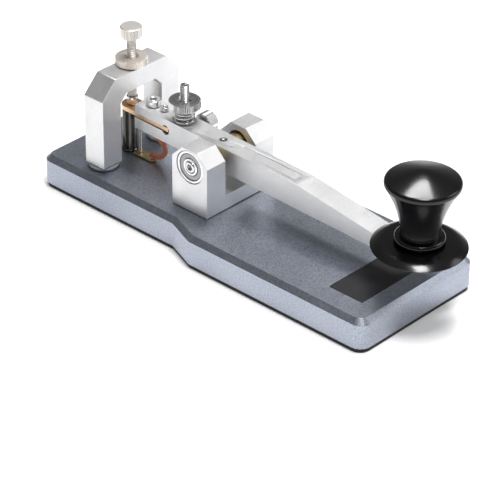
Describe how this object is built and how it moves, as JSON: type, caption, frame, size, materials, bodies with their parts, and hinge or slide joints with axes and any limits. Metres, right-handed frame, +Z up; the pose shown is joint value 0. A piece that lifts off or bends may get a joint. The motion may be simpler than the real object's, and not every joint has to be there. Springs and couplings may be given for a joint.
{
  "type": "straight morse key",
  "caption": "Straight morse key on a metal base: ball-bearing lever in a U yoke, bridge with contact screw, sprung tension stud and turned finger knob.",
  "frame": {"origin": "on the table, under the centre of the key's overall box", "axes": "+Z up, -Y towards the operator's knob, +Y towards the contact bridge, +X to the operator's right"},
  "size_m": [0.0672, 0.1974, 0.072],
  "materials": {
    "anodised_base": "bead-blasted blue-grey anodise, with lighter milled sides and chamfer",
    "satin_aluminium": "fine bead-blasted silver anodise",
    "polished_steel": "bright turned steel",
    "warm_nickel": "nickel plate with a warm tint",
    "contact_silver": "bright silver contact",
    "brass": "turned brass",
    "copper": "rolled copper strip, brushed along its length",
    "copper_braid": "bare red copper braid",
    "black_rubber": "matt black rubber sheet",
    "black_inlay": "satin black inlay",
    "black_lacquer": "turned knob in smooth satin-gloss black",
    "clear_nylon": "clear nylon that shows the dark plate through it",
    "red_insulation": "wire insulation",
    "black_insulation": "moulded black plastic"
  },
  "bodies": {
    "base": {"anti_slip_mat": "black_rubber", "base_plate": "anodised_base", "finger_rest_inlay": "black_inlay", "key_lead_socket": "black_insulation", "socket_ring_nut": "warm_nickel", "contact_wire": "red_insulation", "lever_wire": "black_insulation", "pivot_yoke": "satin_aluminium", "yoke_screw_left": "polished_steel", "yoke_screw_right": "polished_steel", "bearing_outer_race_left": "polished_steel", "bearing_outer_race_right": "polished_steel", "bearing_shield_left": "polished_steel", "bearing_shield_right": "polished_steel", "bearing_ball_cage_left": "brass", "bearing_ball_cage_right": "brass", "contact_bridge": "satin_aluminium", "bridge_washer_left": "clear_nylon", "bridge_washer_right": "clear_nylon", "insulating_bush_left": "clear_nylon", "insulating_bush_right": "clear_nylon", "bridge_screw_left": "polished_steel", "bridge_screw_right": "polished_steel", "tension_stud": "polished_steel", "tension_spring": "polished_steel", "rest_post": "polished_steel", "terminal_tag": "brass", "terminal_pin": "warm_nickel", "flexible_braid": "copper_braid"},
    "lever": {"lever_arm": "satin_aluminium", "contact_blade": "copper", "blade_contact": "copper", "blade_clamp_screw": "polished_steel", "blade_lock_screw": "polished_steel", "axle_set_screw": "polished_steel", "pivot_axle": "polished_steel", "axle_spacer_left": "brass", "axle_spacer_right": "brass", "bearing_inner_race_left": "polished_steel", "bearing_inner_race_right": "polished_steel", "knob_grip": "black_lacquer", "knob_skirt": "black_lacquer", "knob_screw": "polished_steel"},
    "contact_tip": {"contact_tip": "contact_silver"},
    "contact_screw": {"contact_screw": "warm_nickel"},
    "contact_lock_nut": {"contact_lock_nut": "warm_nickel"},
    "spring_cap": {"spring_cap": "polished_steel"},
    "tension_nut": {"tension_nut": "polished_steel"},
    "side_thumb_screw": {"side_thumb_screw": "polished_steel"}
  },
  "joints": [
    {"name": "lever_pivot", "type": "hinge", "parent": "base", "child": "lever", "pos_m": [0, 0.02208, 0.0347], "axis": [1, 0, 0], "range_deg": [0, 0.95], "stiffness_Nm_per_rad": 3, "springref_deg": -2.86, "deforming": ["flexible_braid"]},
    {"name": "contact_tip_travel", "type": "slide", "parent": "base", "child": "contact_tip", "axis": [0, 0, 1], "range_m": [0, 0.0021]},
    {"name": "contact_screw_turn", "type": "hinge", "parent": "contact_tip", "child": "contact_screw", "pos_m": [0, 0.07318, 0.06], "axis": [0, 0, 1], "range_deg": [0, 1080]},
    {"name": "contact_lock_nut_turn", "type": "hinge", "parent": "base", "child": "contact_lock_nut", "pos_m": [0, 0.07318, 0.0568], "axis": [0, 0, 1], "range_deg": [0, 180]},
    {"name": "spring_cap_travel", "type": "slide", "parent": "base", "child": "spring_cap", "axis": [0, 0, 1], "range_m": [-0.0007, 0.0014], "deforming": ["tension_spring"]},
    {"name": "tension_nut_turn", "type": "hinge", "parent": "spring_cap", "child": "tension_nut", "pos_m": [0, 0.04328, 0.048], "axis": [0, 0, 1], "range_deg": [-360, 720]},
    {"name": "side_thumb_screw_turn", "type": "hinge", "parent": "lever", "child": "side_thumb_screw", "pos_m": [0.0087, 0.03932, 0.03728], "axis": [1, 0, 0], "range_deg": [0, 270]}
  ],
  "couplings": [
    {"joint": "contact_screw_turn", "follows": "contact_tip_travel", "rad_per_m": 8976},
    {"joint": "tension_nut_turn", "follows": "spring_cap_travel", "rad_per_m": 8976}
  ]
}
